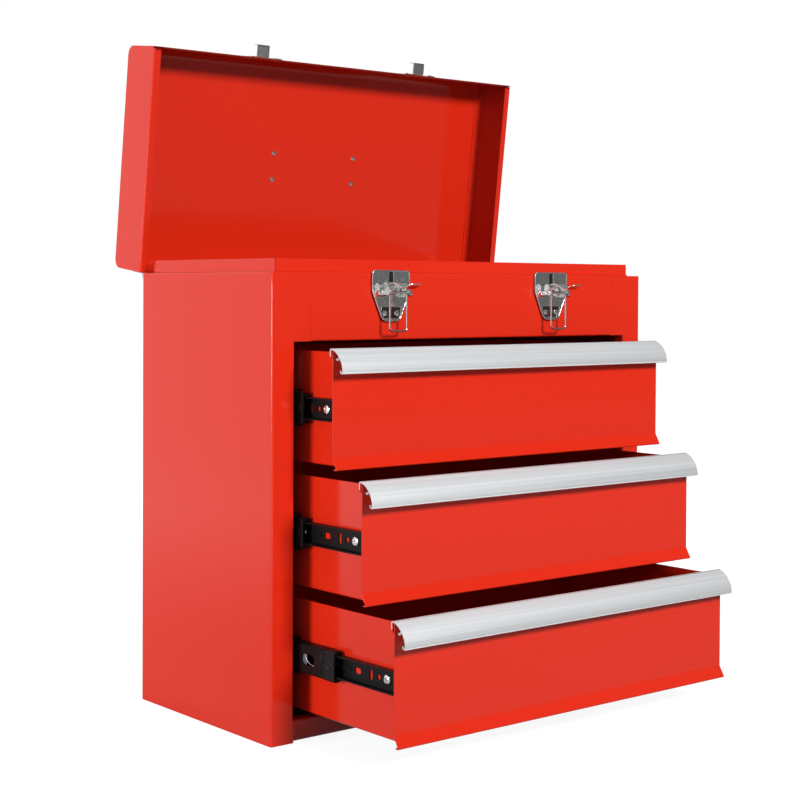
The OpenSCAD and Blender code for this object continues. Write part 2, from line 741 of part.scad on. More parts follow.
module drawer_tray(n) {
    y0 = face_y(n) + sheet;
    y1 = y0 + tray_len;
    z0 = flare_z(n) + tray_lift;
    top = z0 + tray_h;
    side = tray_half - half_sheet;
    back_hem = tray_half - 2 * sheet - seat_gap;
    floor_half = side - 2 * fold_r;
    color(red) difference() {
        union() {
            both_sides() along_y(y0, y1)
                strip([[side, top], [side, z0 + half_sheet], [floor_half, z0 + half_sheet]]);
            both_sides() translate([side - 1.5 * sheet, y0, top - tray_hem])
                cube([sheet, tray_len, tray_hem]);
            translate([seat_gap / 2 - floor_half, y0, z0])
                cube([2 * floor_half - seat_gap, tray_len, sheet]);
            tray_end(y0, y0 + sheet, z0 + sheet + seat_gap, top);
            tray_end(y1 - sheet, y1, z0 + sheet + seat_gap, top);
            translate([-back_hem, y1 - 2 * sheet, top - tray_hem]) cube([2 * back_hem, sheet, tray_hem]);
        }
        screw_holes(n, rivet_hole_r);
        // notches for the folded edge of the front and the lip of the pull
        notch_z = pull_top(n) - pull_t - front_lip - 2 * run_clear;
        both_sides() translate([side - 3 * sheet, y0 + sheet, notch_z])
            cube([4 * sheet, pull_seat + pull_t - 2 * sheet + run_clear, tray_h]);
    }
}

module drawer_front(n) {
    tip = flare_z(n);
    fold = pull_top(n) - pull_t - half_sheet;
    color(red) translate([0, face_y(n), 0]) along_x(-front_half, front_half)
        strip([[pull_seat - half_sheet, fold - front_lip + half_sheet], [pull_seat - half_sheet, fold],
               [half_sheet, fold],
               [half_sheet, tip + flare_h], [-flare_out + half_sheet, tip + half_sheet],
               [-flare_out + flare_hem, tip + half_sheet + 0.4]],
              r = [0, 1.4, 1.4, 4, 0.7, 0]);
}

// section of the pull, measured out from the drawer's face and up from the pull's top
bow_centre = [-8, -pull_t / 2 - pull_r * sin(73)];
bow_front = bow_centre[0] + pull_r;
bow = [for (a = [70:-7:7]) bow_centre + pull_r * [cos(a), sin(a)]];
pull_back = -pull_seat - pull_t / 2;
pull_line = concat([[pull_back, -pull_lip], [pull_back, -pull_t / 2], [-0.4, -pull_t / 2]], bow,
                   [for (hook = [[0, -0.5], [-3.3, 0.3], [-3.9, 2.4]]) [bow_front, bow_centre[1]] + hook]);

module drawer_pull(n) {
    rib_root = bow_centre + (pull_r - 0.2) * [cos(41), sin(41)];
    color(grey) translate([0, face_y(n), pull_top(n)]) mirror([0, 1, 0]) along_x(-front_half, front_half) {
        strip(pull_line, t = pull_t, n = 3,
              r = concat([0, 1.2, 2], [for (i = bow) 3], [0.7, 0.7, 0]));
        strip([rib_root, [6.3, -11], [5, -9.3]], t = pull_t - 0.2, r = 0.6);
    }
}

module drawer_screws(n) {
    color(steel) for (at = screw_places)
        translate([0, inner_front(n) + at, slide_z(n)]) both_sides()
            translate([tray_half, 0, 0]) rotate([0, 90, 0]) pan_screw();
}

// a cross-headed screw through the tray and the inner member, from the tray's face at z = 0
module pan_screw() {
    top = member_t + screw_head_h;
    difference() {
        rotate_extrude() polygon([[0, -3 * sheet], [screw_r, -3 * sheet], [screw_r, member_t],
            [screw_head_r, member_t], [0.94 * screw_head_r, top - 0.9], [0.6 * screw_head_r, top - 0.15],
            [0, top]]);
        for (a = [0, 90]) rotate([0, 0, a])
            translate([-screw_r, -0.45, top - 1.4]) cube([2 * screw_r, 0.9, 2]);
    }
}

// ---- slides, drawn on the left; s runs from the post to the tray ----

module slide_section(n, y0, y1) {
    translate([-post_half, 0, slide_z(n)]) along_y(y0, y1) children();
}

// cuts or raises a rounded patch of the web, size[0] along the slide by size[1] in height
module web_patch(n, y, s0, s1, size, r) {
    half = size / 2;
    translate([-post_half, y, slide_z(n)]) along_x(s0, s1)
        polygon(rounded([[-half[0], -half[1]], [half[0], -half[1]], half, [-half[0], half[1]]], r, 5));
}

module slide_outer(n) {
    z = (outer_h - member_t) / 2;
    s = member_t / 2;
    y0 = front_y + outer_front;
    color(black) slide_section(n, y0, y0 + outer_len)
        strip([[outer_arm, z], [s, z], [s, -z], [outer_arm, -z]], t = member_t, r = 1.4);
}

module slide_mid(n) {
    z = (mid_h - mid_t) / 2;
    s = member_t + 0.65 + mid_t / 2;
    y0 = mid_front(n);
    color(black) difference() {
        slide_section(n, y0 + block_len, y0 + mid_len)
            strip([[mid_arm, z], [s, z], [s, -z], [mid_arm, -z]], t = mid_t, r = 1.4);
        for (at = [mid_window_at, mid_len - mid_window_at])
            web_patch(n, y0 + at, member_t, s + mid_t, mid_window, mid_window[1] / 2 - 0.01);
    }
}

module slide_inner(n) {
    z = (inner_h - member_t) / 2;
    s = slide_w - member_t / 2;
    y0 = inner_front(n);
    color(black) difference() {
        slide_section(n, y0, y0 + inner_len)
            strip([[inner_arm, z], [s, z], [s, -z], [inner_arm, -z]], t = member_t, r = 1.4);
        screw_holes(n, rivet_hole_r);
        for (hole = member_holes) web_patch(n, y0 + hole[0], s - member_t, slide_w + 1, hole[1], hole[2]);
    }
    // a bead pressed into the web
    root = s - member_t / 2;
    color(black) web_patch(n, y0 + bead_at, root - bead[2], root, [bead[0], bead[1]], bead[1] / 2 - 0.1);
}

// the ball cages and the plastic block that runs round the inner member
module slide_cages(n) {
    y0 = mid_front(n);
    z_outer = mid_h / 2 + cage_clear;
    z_inner = inner_h / 2 + cage_clear;
    back = member_t + 0.7;
    edge = slide_w - run_clear;
    top = block_h / 2;
    mouth = z_inner + 0.2;
    root = inner_arm - run_clear;
    color(black) both_sides() {
        slide_section(n, y0, y0 + block_len) difference() {
            polygon(rounded([[back, -top], [edge - 4.6, -top], [edge, -mouth - 0.8], [edge, mouth + 0.8],
                             [edge - 4.6, top], [back, top]], [2, 1, 0.3, 0.3, 1, 2]));
            polygon([[root, -mouth], [slide_w, -mouth], [slide_w, mouth], [root, mouth]]);
        }
        for (flip = [0, 1]) slide_section(n, y0 + cage_split, y0 + mid_len - 10) mirror([0, flip])
            polygon([[3, z_outer], [9, z_outer], [9, z_outer + outer_gap - 2 * cage_clear],
                     [3, z_outer + outer_gap - 2 * cage_clear]]);
        for (flip = [0, 1]) slide_section(n, y0 + block_len + 2, y0 + cage_split) mirror([0, flip])
            polygon([[5, z_inner], [10.5, z_inner], [10.5, z_inner + inner_gap - 2 * cage_clear],
                     [5, z_inner + inner_gap - 2 * cage_clear]]);
    }
}

side_panel();  // left_side_panel
to_side("right") side_panel();  // right_side_panel
back_panel();
header_panel();
base_panel();
till_floor();
slide_posts();
case_hinge_leaf();
hinge_pin();
case_rivets();
translate([-latch_x, 0, 0]) latch_plate();  // latch_plate_left
translate([latch_x, 0, 0]) latch_plate();  // latch_plate_right
translate([-latch_x, 0, 0]) latch_lever();  // latch_lever_left
translate([latch_x, 0, 0]) latch_lever();  // latch_lever_right
translate([-latch_x, 0, 0]) latch_pin();  // latch_pin_left
translate([latch_x, 0, 0]) latch_pin();  // latch_pin_right
translate([-latch_x, 0, 0]) latch_bail();  // latch_bail_left
translate([latch_x, 0, 0]) latch_bail();  // latch_bail_right
lid_panel();
lid_end();  // lid_left_end
to_side("right") lid_end();  // lid_right_end
lid_hinge_leaf();
lid_rivets();
lid_catch();  // lid_catch_left
to_side("right") lid_catch();  // lid_catch_right
handle_brackets();
carry_handle();
drawer_tray(1);  // drawer_tray_1
drawer_front(1);  // drawer_front_1
drawer_pull(1);  // drawer_pull_1
drawer_screws(1);  // drawer_screws_1
slide_outer(1);  // slide_outer_left_1
to_side("right") slide_outer(1);  // slide_outer_right_1
slide_mid(1);  // slide_mid_left_1
to_side("right") slide_mid(1);  // slide_mid_right_1
slide_inner(1);  // slide_inner_left_1
to_side("right") slide_inner(1);  // slide_inner_right_1
slide_cages(1);  // slide_cages_1
drawer_tray(2);  // drawer_tray_2
drawer_front(2);  // drawer_front_2
drawer_pull(2);  // drawer_pull_2
drawer_screws(2);  // drawer_screws_2
slide_outer(2);  // slide_outer_left_2
to_side("right") slide_outer(2);  // slide_outer_right_2
slide_mid(2);  // slide_mid_left_2
to_side("right") slide_mid(2);  // slide_mid_right_2
slide_inner(2);  // slide_inner_left_2
to_side("right") slide_inner(2);  // slide_inner_right_2
slide_cages(2);  // slide_cages_2
drawer_tray(3);  // drawer_tray_3
drawer_front(3);  // drawer_front_3
drawer_pull(3);  // drawer_pull_3
drawer_screws(3);  // drawer_screws_3
slide_outer(3);  // slide_outer_left_3
to_side("right") slide_outer(3);  // slide_outer_right_3
slide_mid(3);  // slide_mid_left_3
to_side("right") slide_mid(3);  // slide_mid_right_3
slide_inner(3);  // slide_inner_left_3
to_side("right") slide_inner(3);  // slide_inner_right_3
slide_cages(3);  // slide_cages_3
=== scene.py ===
import bpy
import bmesh
from math import cos, pi, radians, sin, tan
from mathutils import Matrix, Vector


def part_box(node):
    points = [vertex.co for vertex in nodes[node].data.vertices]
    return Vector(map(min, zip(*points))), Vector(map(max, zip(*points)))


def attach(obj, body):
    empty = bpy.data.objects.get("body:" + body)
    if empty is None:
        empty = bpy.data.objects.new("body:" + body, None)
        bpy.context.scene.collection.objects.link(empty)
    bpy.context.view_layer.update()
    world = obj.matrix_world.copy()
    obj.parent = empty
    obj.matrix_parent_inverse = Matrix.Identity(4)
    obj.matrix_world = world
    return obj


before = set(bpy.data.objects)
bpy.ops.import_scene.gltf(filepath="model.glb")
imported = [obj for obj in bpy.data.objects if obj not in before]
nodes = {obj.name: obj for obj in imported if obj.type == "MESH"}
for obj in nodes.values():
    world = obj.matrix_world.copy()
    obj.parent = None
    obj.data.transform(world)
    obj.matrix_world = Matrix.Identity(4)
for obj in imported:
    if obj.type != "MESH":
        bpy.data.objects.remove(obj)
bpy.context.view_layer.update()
mm = 0.001

cameraSetup = {
    "place": Vector((-1144.227, -1382.513, 433.182)) * mm,
    "yaw": 39.1495,       # degrees from +Y towards +X
    "pitch": -0.9702,
    "roll": 0.2603,
    "lens": 73.803,       # mm
    "sensor": 36,         # mm
    "shift": (0.0164, -0.10296),
    "clip": (0.05, 50),
}


def makeCamera(setup):
    data = bpy.data.cameras.new("camera")
    data.sensor_width = setup["sensor"]
    data.lens = setup["lens"]
    data.shift_x, data.shift_y = setup["shift"]
    data.clip_start, data.clip_end = setup["clip"]
    camera = bpy.data.objects.new("camera", data)
    bpy.context.scene.collection.objects.link(camera)
    heading = Matrix.Rotation(radians(-setup["yaw"]), 4, "Z")
    tilt = Matrix.Rotation(radians(90 + setup["pitch"]), 4, "X")
    roll = Matrix.Rotation(radians(setup["roll"]), 4, "Z")
    camera.matrix_world = Matrix.Translation(setup["place"]) @ heading @ tilt @ roll
    bpy.context.scene.camera = camera


makeCamera(cameraSetup)
print("camera set")


# small helpers for node trees; an input takes a constant or another node's socket
def feed(tree, socket, value):
    if isinstance(value, bpy.types.NodeSocket):
        tree.links.new(value, socket)
    else:
        socket.default_value = value


def addNode(tree, kind, inputs=None, **settings):
    node = tree.nodes.new(kind)
    for name, value in settings.items():
        setattr(node, name, value)
    for name, value in (inputs or {}).items():
        feed(tree, node.inputs[name], value)
    return node


def calc(tree, operation, *values):
    return addNode(tree, "ShaderNodeMath", dict(enumerate(values)), operation=operation).outputs[0]


def mapped(tree, value, fromMin, fromMax, toMin, toMax, curve="LINEAR"):
    node = addNode(tree, "ShaderNodeMapRange", {
        "Value": value, "From Min": fromMin, "From Max": fromMax,
        "To Min": toMin, "To Max": toMax}, interpolation_type=curve)
    return node.outputs["Result"]


def scaled(tree, vector, factor):
    node = addNode(tree, "ShaderNodeVectorMath", {0: vector, "Scale": factor}, operation="SCALE")
    return node.outputs[0]


def split(tree, vector):
    return addNode(tree, "ShaderNodeSeparateXYZ", {0: vector}).outputs


def noiseAt(tree, vector, scale, detail, roughness=0.5):
    node = addNode(tree, "ShaderNodeTexNoise", {
        "Vector": vector, "Scale": scale, "Detail": detail, "Roughness": roughness})
    return node.outputs["Fac"]


noiseSpan = (0.3, 0.7)    # nearly all values of a noise lie in it


def spread(tree, noise, low, high):
    return mapped(tree, noise, *noiseSpan, low, high)


def newGroup(name, inputs, outputs):
    # inputs are {socket name: (kind, default)}, outputs are {socket name: kind}
    group = bpy.data.node_groups.new(name, "ShaderNodeTree")
    for socketName, (kind, value) in inputs.items():
        socket = group.interface.new_socket(
            socketName, in_out="INPUT", socket_type="NodeSocket" + kind)
        if value is not None:
            socket.default_value = value
    for socketName, kind in outputs.items():
        group.interface.new_socket(
            socketName, in_out="OUTPUT", socket_type="NodeSocket" + kind)
    return group, group.nodes.new("NodeGroupInput"), group.nodes.new("NodeGroupOutput")


# sprayed coat: slow drift of colour and gloss, and the small waves of orange peel
coatEffect = {
    "drift": {"scale": 3.0, "detail": 1.0},
    "gloss": {"scale": 60.0, "detail": 3.0},
    "glossSpan": (0.88, 1.12),
    "peelDetail": 1.0,
    "gritHeight": 0.25,    # against the height of the peel
}


def makeCoatGroup(effect):
    group, start, end = newGroup(
        "sprayedCoat",
        {"Vector": ("Vector", None), "Colour": ("Color", (0.8, 0.8, 0.8, 1)),
         "Drift": ("Float", 0.05), "Roughness": ("Float", 0.25),
         "Peel Scale": ("Float", 500.0), "Grit Scale": ("Float", 2200.0)},
        {"Colour": "Color", "Roughness": "Float", "Height": "Float"})
    given = start.outputs
    vector = given["Vector"]
    darkest = calc(group, "SUBTRACT", 1.0, given["Drift"])
    shade = spread(group, noiseAt(group, vector, **effect["drift"]), darkest, 1.0)
    gloss = spread(group, noiseAt(group, vector, **effect["gloss"]), *effect["glossSpan"])
    peel = noiseAt(group, vector, given["Peel Scale"], effect["peelDetail"])
    grit = noiseAt(group, vector, given["Grit Scale"], effect["peelDetail"])
    height = calc(group, "MULTIPLY_ADD", grit, effect["gritHeight"], peel)
    feed(group, end.inputs["Colour"], scaled(group, given["Colour"], shade))
    feed(group, end.inputs["Roughness"], calc(group, "MULTIPLY", given["Roughness"], gloss))
    feed(group, end.inputs["Height"], height)
    return group


# metal with lines left by the die or the belt, along the axis that the stretch leaves long
drawnEffect = {
    "lines": {"scale": 1.0, "detail": 3.0, "roughness": 0.65},
    "glossSpan": (0.85, 1.2),
}


def makeDrawnGroup(effect):
    group, start, end = newGroup(
        "drawnLines",
        {"Vector": ("Vector", None), "Colour": ("Color", (0.8, 0.8, 0.8, 1)),
         "Contrast": ("Float", 0.1), "Roughness": ("Float", 0.3)},
        {"Colour": "Color", "Roughness": "Float", "Height": "Float"})
    given = start.outputs
    lines = noiseAt(group, given["Vector"], **effect["lines"])
    darkest = calc(group, "SUBTRACT", 1.0, given["Contrast"])
    shade = spread(group, lines, darkest, 1.0)
    gloss = spread(group, lines, *effect["glossSpan"])
    feed(group, end.inputs["Colour"], scaled(group, given["Colour"], shade))
    feed(group, end.inputs["Roughness"], calc(group, "MULTIPLY", given["Roughness"], gloss))
    feed(group, end.inputs["Height"], lines)
    return group


coatGroup = makeCoatGroup(coatEffect)
drawnGroup = makeDrawnGroup(drawnEffect)


def newMaterial(name, group, finish):
    # a Principled surface whose colour, gloss and bump come from one of the shared effects
    material = bpy.data.materials.new(name)
    material.use_nodes = True
    tree = material.node_tree
    shader = tree.nodes["Principled BSDF"]
    for socket, value in finish["surface"].items():
        shader.inputs[socket].default_value = value
    place = addNode(tree, "ShaderNodeTexCoord")
    pattern = addNode(tree, "ShaderNodeMapping", {
        "Vector": place.outputs["Object"], "Scale": finish["stretch"]})
    effect = addNode(tree, "ShaderNodeGroup", node_tree=group)
    feed(tree, effect.inputs["Vector"], pattern.outputs["Vector"])
    for socket, value in finish["effect"].items():
        effect.inputs[socket].default_value = value
    colour = effect.outputs["Colour"]
    if "thrown" in finish:
        path = addNode(tree, "ShaderNodeLightPath")
        share = mapped(tree, path.outputs["Is Diffuse Ray"], 0.0, 1.0, 1.0, finish["thrown"])
        colour = scaled(tree, colour, share)
    strength, distance = finish["bump"]
    rounded = addNode(tree, "ShaderNodeBevel", {"Radius": finish["edge"]}, samples=4)
    bump = addNode(tree, "ShaderNodeBump", {
        "Strength": strength, "Distance": distance,
        "Height": effect.outputs["Height"], "Normal": rounded.outputs["Normal"]})
    feed(tree, shader.inputs["Base Color"], colour)
    feed(tree, shader.inputs["Roughness"], effect.outputs["Roughness"])
    feed(tree, shader.inputs["Normal"], bump.outputs["Normal"])
    return material


def tintedBy(material, factor):
    # the base colour times a factor
    tree = material.node_tree
    colour = tree.nodes["Principled BSDF"].inputs["Base Color"]
    feed(tree, colour, scaled(tree, colour.links[0].from_socket, factor))


# In each finish, effect holds the inputs of the shared effect, stretch scales its pattern, bump is
# strength and distance, and edge is the radius in metres by which corners look rounded.
enamelFinish = {
    "effect": {"Colour": (0.80, 0.0265, 0.0078, 1), "Drift": 0.012, "Roughness": 0.13,
               "Peel Scale": 330.0, "Grit Scale": 1100.0},
    "stretch": (1, 1, 1),
    "bump": (0.05, 0.0004),
    "surface": {"Specular IOR Level": 0.38},
    "thrown": 0.5,        # share of its colour that it casts on other pieces
    "edge": 0.0006,
    # the cut edge of the lid's front skirt, mm from the lid panel's front and from its top
    "cutEdge": {"front": (0.4, 0.6), "top": (10.5, 9.5), "darkening": 0.7},
}


def redEnamel(finish):
    material = newMaterial("redEnamel", coatGroup, finish)
    # darker along the cut edge of the lid's front skirt
    tree = material.node_tree
    spot = split(tree, addNode(tree, "ShaderNodeTexCoord").outputs["Object"])
    low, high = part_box("lid_panel")
    edge = finish["cutEdge"]
    front = [low.y + depth * mm for depth in edge["front"]]
    top = [high.z - depth * mm for depth in edge["top"]]
    cut = calc(tree, "MULTIPLY", mapped(tree, spot["Y"], *front, 1.0, 0.0),
               mapped(tree, spot["Z"], *top, 0.0, 1.0))
    tintedBy(material, calc(tree, "MULTIPLY_ADD", cut, -edge["darkening"], 1.0))
    return material


coatFinish = {
    "effect": {"Colour": (0.007, 0.007, 0.008, 1), "Drift": 0.2, "Roughness": 0.38,
               "Peel Scale": 900.0, "Grit Scale": 3000.0},
    "stretch": (1, 1, 1),
    "bump": (0.1, 0.0002),
    "surface": {"Specular IOR Level": 0.12},
    "edge": 0.0005,
}

plasticFinish = {
    "effect": {"Colour": (0.008, 0.008, 0.009, 1), "Drift": 0.15, "Roughness": 0.4,
               "Peel Scale": 1800.0, "Grit Scale": 5000.0},
    "stretch": (1, 1, 1),
    "bump": (0.15, 0.0001),
    "surface": {"Specular IOR Level": 0.15},
    "edge": 0.0006,
}

pullFinish = {
    "effect": {"Colour": (0.66, 0.675, 0.69, 1), "Contrast": 0.11, "Roughness": 0.5},
    "stretch": (2, 640, 640),
    "bump": (0.12, 0.0002),
    "surface": {"Metallic": 0.3},
    "edge": 0.0003,
    # painted light on the pulls, each a brightness: from, to, its value at the first and at the
    # second. face is painted light, brighter towards the top; lip is a painted highlight on the
    # lower lip; along is painted shade towards one end
    "face": (0.1, 0.94, 0.98, 1.39),      # over the normal's Z, from the upright face to the top
    "lip": (-0.2, 0.05, 1.7, 0.8),        # over the normal's Z, from the lower lip to the face
    "along": (-0.22, 0.22, 1.0, 0.88),    # over X in metres, from end to end
}


def pullAluminium(finish):
    material = newMaterial("pullAluminium", drawnGroup, finish)
    # painted light: painted shade where the face stands upright and towards one end, and a painted
    # highlight on the lip
    tree = material.node_tree
    place = addNode(tree, "ShaderNodeTexCoord")
    slope = split(tree, place.outputs["Normal"])["Z"]
    shade = calc(tree, "MAXIMUM", mapped(tree, slope, *finish["face"]),
                 mapped(tree, slope, *finish["lip"]))
    along = mapped(tree, split(tree, place.outputs["Object"])["X"], *finish["along"])
    tintedBy(material, calc(tree, "MULTIPLY", shade, along))
    return material


nickelFinish = {
    "effect": {"Colour": (0.80, 0.81, 0.80, 1), "Contrast": 0.05, "Roughness": 0.09},
    "stretch": (80, 80, 80),
    "bump": (1.0, 0.0007),
    "surface": {"Metallic": 1.0},
    "edge": 0.0012,
    # the stamped hollows of the latch plates, between these Y in mm, which get painted shade
    "hollowShade": {"front": (-120.5, -120.0), "back": (-118.4, -118.0), "dark": 0.82},
}


def polishedNickel(finish):
    material = newMaterial("polishedNickel", drawnGroup, finish)
    # painted shade, dark in the hollows
    tree = material.node_tree
    depth = split(tree, addNode(tree, "ShaderNodeTexCoord").outputs["Object"])["Y"]
    hollowShade = finish["hollowShade"]
    front = [y * mm for y in hollowShade["front"]]
    back = [y * mm for y in hollowShade["back"]]
    inside = calc(tree, "MULTIPLY", mapped(tree, depth, *front, 0.0, 1.0),
                  mapped(tree, depth, *back, 1.0, 0.0))
    tintedBy(material, calc(tree, "MULTIPLY_ADD", inside, -hollowShade["dark"], 1.0))
    return material


zincFinish = {
    "effect": {"Colour": (0.13, 0.145, 0.18, 1), "Contrast": 0.15, "Roughness": 0.42},
    "stretch": (90, 90, 90),
    "bump": (0.2, 0.0002),
    "surface": {"Metallic": 0.2},
    "edge": 0.0003,
}

platedFinish = {
    "effect": {"Colour": (0.62, 0.63, 0.64, 1), "Contrast": 0.12, "Roughness": 0.3},
    "stretch": (20, 500, 500),
    "bump": (0.08, 0.0002),
    "surface": {"Metallic": 1.0},
    "edge": 0.0004,
}

red = redEnamel(enamelFinish)
coat = newMaterial("blackCoat", coatGroup, coatFinish)
plastic = newMaterial("blackPlastic", coatGroup, plasticFinish)
aluminium = pullAluminium(pullFinish)
nickel = polishedNickel(nickelFinish)
plated = newMaterial("platedSteel", drawnGroup, platedFinish)
zinc = newMaterial("greyZinc", drawnGroup, zincFinish)

# which nodes take which finish, by the start of their names
finishes = (
    (red, ("left_side", "right_side", "back_panel", "header", "base_panel", "till_floor",
           "lid_panel", "lid_left_end", "lid_right_end", "drawer_tray", "drawer_front")),
    (coat, ("slide_outer", "slide_mid", "slide_inner")),
    (plastic, ("slide_cages",)),
    (aluminium, ("drawer_pull",)),
    (nickel, ("latch_", "lid_catch", "case_rivets", "lid_rivets", "drawer_screws")),
    (plated, ("slide_posts", "case_hinge", "lid_hinge", "hinge_pin", "handle_brackets",
              "carry_handle")),
)


def finishOf(name):
    return next(material for material, starts in finishes if name.startswith(starts))


for name, piece in nodes.items():
    piece.data.materials.clear()
    piece.data.materials.append(finishOf(name))
print("finishes set on", len(nodes), "nodes")


# helpers for the small pieces that the frame leaves out
def addPiece(name, mesh, material, body):
    mesh.name = name
    mesh.materials.clear()
    mesh.materials.append(material)
    mesh.polygons.foreach_set("use_smooth", [True] * len(mesh.polygons))
    piece = bpy.data.objects.new(name, mesh)
    bpy.context.scene.collection.objects.link(piece)
    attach(piece, body)


def meshFrom(form, name="mesh"):
    mesh = bpy.data.meshes.new(name)
    form.to_mesh(mesh)
    form.free()
    return mesh


def bevelledBlock(size, centre, bevel):
    form = bmesh.new()
    bmesh.ops.create_cube(form, size=1)
    bmesh.ops.scale(form, vec=size, verts=form.verts)
    bmesh.ops.translate(form, vec=centre, verts=form.verts)
    bmesh.ops.bevel(form, geom=form.edges, offset=bevel, affect="EDGES", segments=2,
                    profile=0.5, material=-1)
    return meshFrom(form)


def wireMesh(points, radius, closed):
    curve = bpy.data.curves.new("wire", "CURVE")
    curve.dimensions = "3D"
    curve.bevel_depth = radius
    curve.bevel_resolution = 3
    curve.use_fill_caps = not closed
    line = curve.splines.new("POLY")
    line.points.add(len(points) - 1)
    for knot, point in zip(line.points, points):
        knot.co = (*point, 1)
    line.use_cyclic_u = closed
    holder = bpy.data.objects.new("wire", curve)
    mesh = bpy.data.meshes.new_from_object(holder)
    bpy.data.objects.remove(holder)
    bpy.data.curves.remove(curve)
    return mesh


def roundedOutline(corners, radii, steps):
    # corners and the result are flat points in order round the outline
    outline = []
    for i, corner in enumerate(corners):
        corner = Vector(corner)
        before = (Vector(corners[i - 1]) - corner).normalized()
        after = (Vector(corners[(i + 1) % len(corners)]) - corner).normalized()
        half = before.angle(after) / 2
        centre = corner + (before + after).normalized() * radii[i] / sin(half)
        start = corner + before * radii[i] / tan(half) - centre
        turn = before.angle_signed(after)
        sweep = (pi - abs(turn)) * (1 if turn > 0 else -1)
        for step in range(steps + 1):
            outline.append(centre + Matrix.Rotation(sweep * step / steps, 2) @ start)
    return outline


# the rolled edge round each latch plate, in mm
plateEdge = {
    "corners": [(-23.5, 452.1), (-23.5, 431.7), (-10.6, 402.1),
                (10.6, 402.1), (23.5, 431.7), (23.5, 452.1)],
    "radii": [3.7, 14, 8.5, 8.5, 14, 3.7],
    "steps": 6,       # in each corner
    "out": 2.0,       # from the case's front
    "radius": 0.85,
}


def makePlateEdge(side, middle):
    outline = roundedOutline(plateEdge["corners"], plateEdge["radii"], plateEdge["steps"])
    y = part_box("header_panel")[0].y - plateEdge["out"] * mm
    points = [(middle + x * mm, y, z * mm) for x, z in outline]
    addPiece("latch_edge_" + side, wireMesh(points, plateEdge["radius"] * mm, True), nickel, "case")


for side in ("left", "right"):
    low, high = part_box("latch_plate_" + side)
    makePlateEdge(side, (low.x + high.x) / 2)


def slidePlace(side, n):
    # the way outwards, and the point on the post's face at the front of the middle member
    way = -1 if side == "left" else 1
    low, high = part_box("slide_outer_%s_%d" % (side, n))
    post = low.x if side == "left" else high.x
    lowMid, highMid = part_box("slide_mid_%s_%d" % (side, n))
    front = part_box("slide_cages_%d" % n)[0].y
    return way, Vector((post, front, (lowMid.z + highMid.z) / 2))


# the zinc bridge of the ball cages and its wire, behind the window of each middle member, in mm
cageBridge = {
    "window": 41,          # from the front of the middle member to the window's centre
    "length": (-13, -3),   # ahead of the window's centre
    "half": 6,
    "depth": (3.2, 3.8),   # from the post's face
    "bevel": 0.2,
    # an arc of an ellipse, ahead of and above the window's centre, from and to in degrees
    "wire": {"centre": (10.9, 3.5), "reach": (13.5, 7.7), "from": 180, "to": 268, "steps": 12,
             "radius": 0.5, "depth": 1.8},
}


def makeCageBridge(side, n):
    way, corner = slidePlace(side, n)
    middle = corner + Vector((0, cageBridge["window"], 0)) * mm
    near, far = cageBridge["depth"]
    back, ahead = cageBridge["length"]
    size = Vector((far - near, ahead - back, 2 * cageBridge["half"])) * mm
    centre = middle + Vector((-way * (near + far) / 2, -(back + ahead) / 2, 0)) * mm
    bridge = bevelledBlock(size, centre, cageBridge["bevel"] * mm)
    addPiece("cage_bridge_%s_%d" % (side, n), bridge, zinc, "slide_mid_%d" % n)
    wire = cageBridge["wire"]
    points = []
    for step in range(wire["steps"] + 1):
        turn = radians(wire["from"] + (wire["to"] - wire["from"]) * step / wire["steps"])
        ahead = wire["centre"][0] + wire["reach"][0] * cos(turn)
        up = wire["centre"][1] + wire["reach"][1] * sin(turn)
        points.append(middle + Vector((-way * wire["depth"], -ahead, up)) * mm)
    mesh = wireMesh(points, wire["radius"] * mm, False)
    addPiece("cage_wire_%s_%d" % (side, n), mesh, plated, "slide_mid_%d" % n)


# relief on the outer side of the middle member's front end, in mm
endRelief = {
    "root": 1.88,     # depth of the flat it stands on, from the post's face
    # radius and height of the dished boss, from its rim to its middle
    "boss": {"from": 9, "steps": 28,
             "profile": ((5.0, 0.0), (4.6, 0.42), (3.2, 0.45), (2.7, 0.2), (0.0, 0.2))},
    "rib": {"from": 21, "length": 2.6, "half": 9.5, "proud": 0.4, "bevel": 0.18},
}


def makeEndRelief(side, n):
    way, corner = slidePlace(side, n)
    root = corner - Vector((way * endRelief["root"], 0, 0)) * mm
    boss = endRelief["boss"]
    centre = root + Vector((0, boss["from"], 0)) * mm
    form = bmesh.new()
    ring = [form.verts.new(centre + Vector((way * out, 0, radius)) * mm)
            for radius, out in boss["profile"]]
    edges = [form.edges.new(pair) for pair in zip(ring, ring[1:])]
    bmesh.ops.spin(form, geom=ring + edges, cent=centre, axis=(way, 0, 0), angle=2 * pi,
                   steps=boss["steps"], use_merge=True, use_duplicate=False)
    bmesh.ops.remove_doubles(form, verts=form.verts, dist=1e-6)
    bmesh.ops.recalc_face_normals(form, faces=form.faces)
    addPiece("end_boss_%s_%d" % (side, n), meshFrom(form), plastic, "slide_mid_%d" % n)
    rib = endRelief["rib"]
    size = Vector((rib["proud"], rib["length"], 2 * rib["half"])) * mm
    centre = root + Vector((way * rib["proud"] / 2, rib["from"], 0)) * mm
    mesh = bevelledBlock(size, centre, rib["bevel"] * mm)
    addPiece("end_rib_%s_%d" % (side, n), mesh, plastic, "slide_mid_%d" % n)


for n in (1, 2, 3):
    for side in ("left", "right"):
        makeCageBridge(side, n)
        makeEndRelief(side, n)
print("small pieces made")

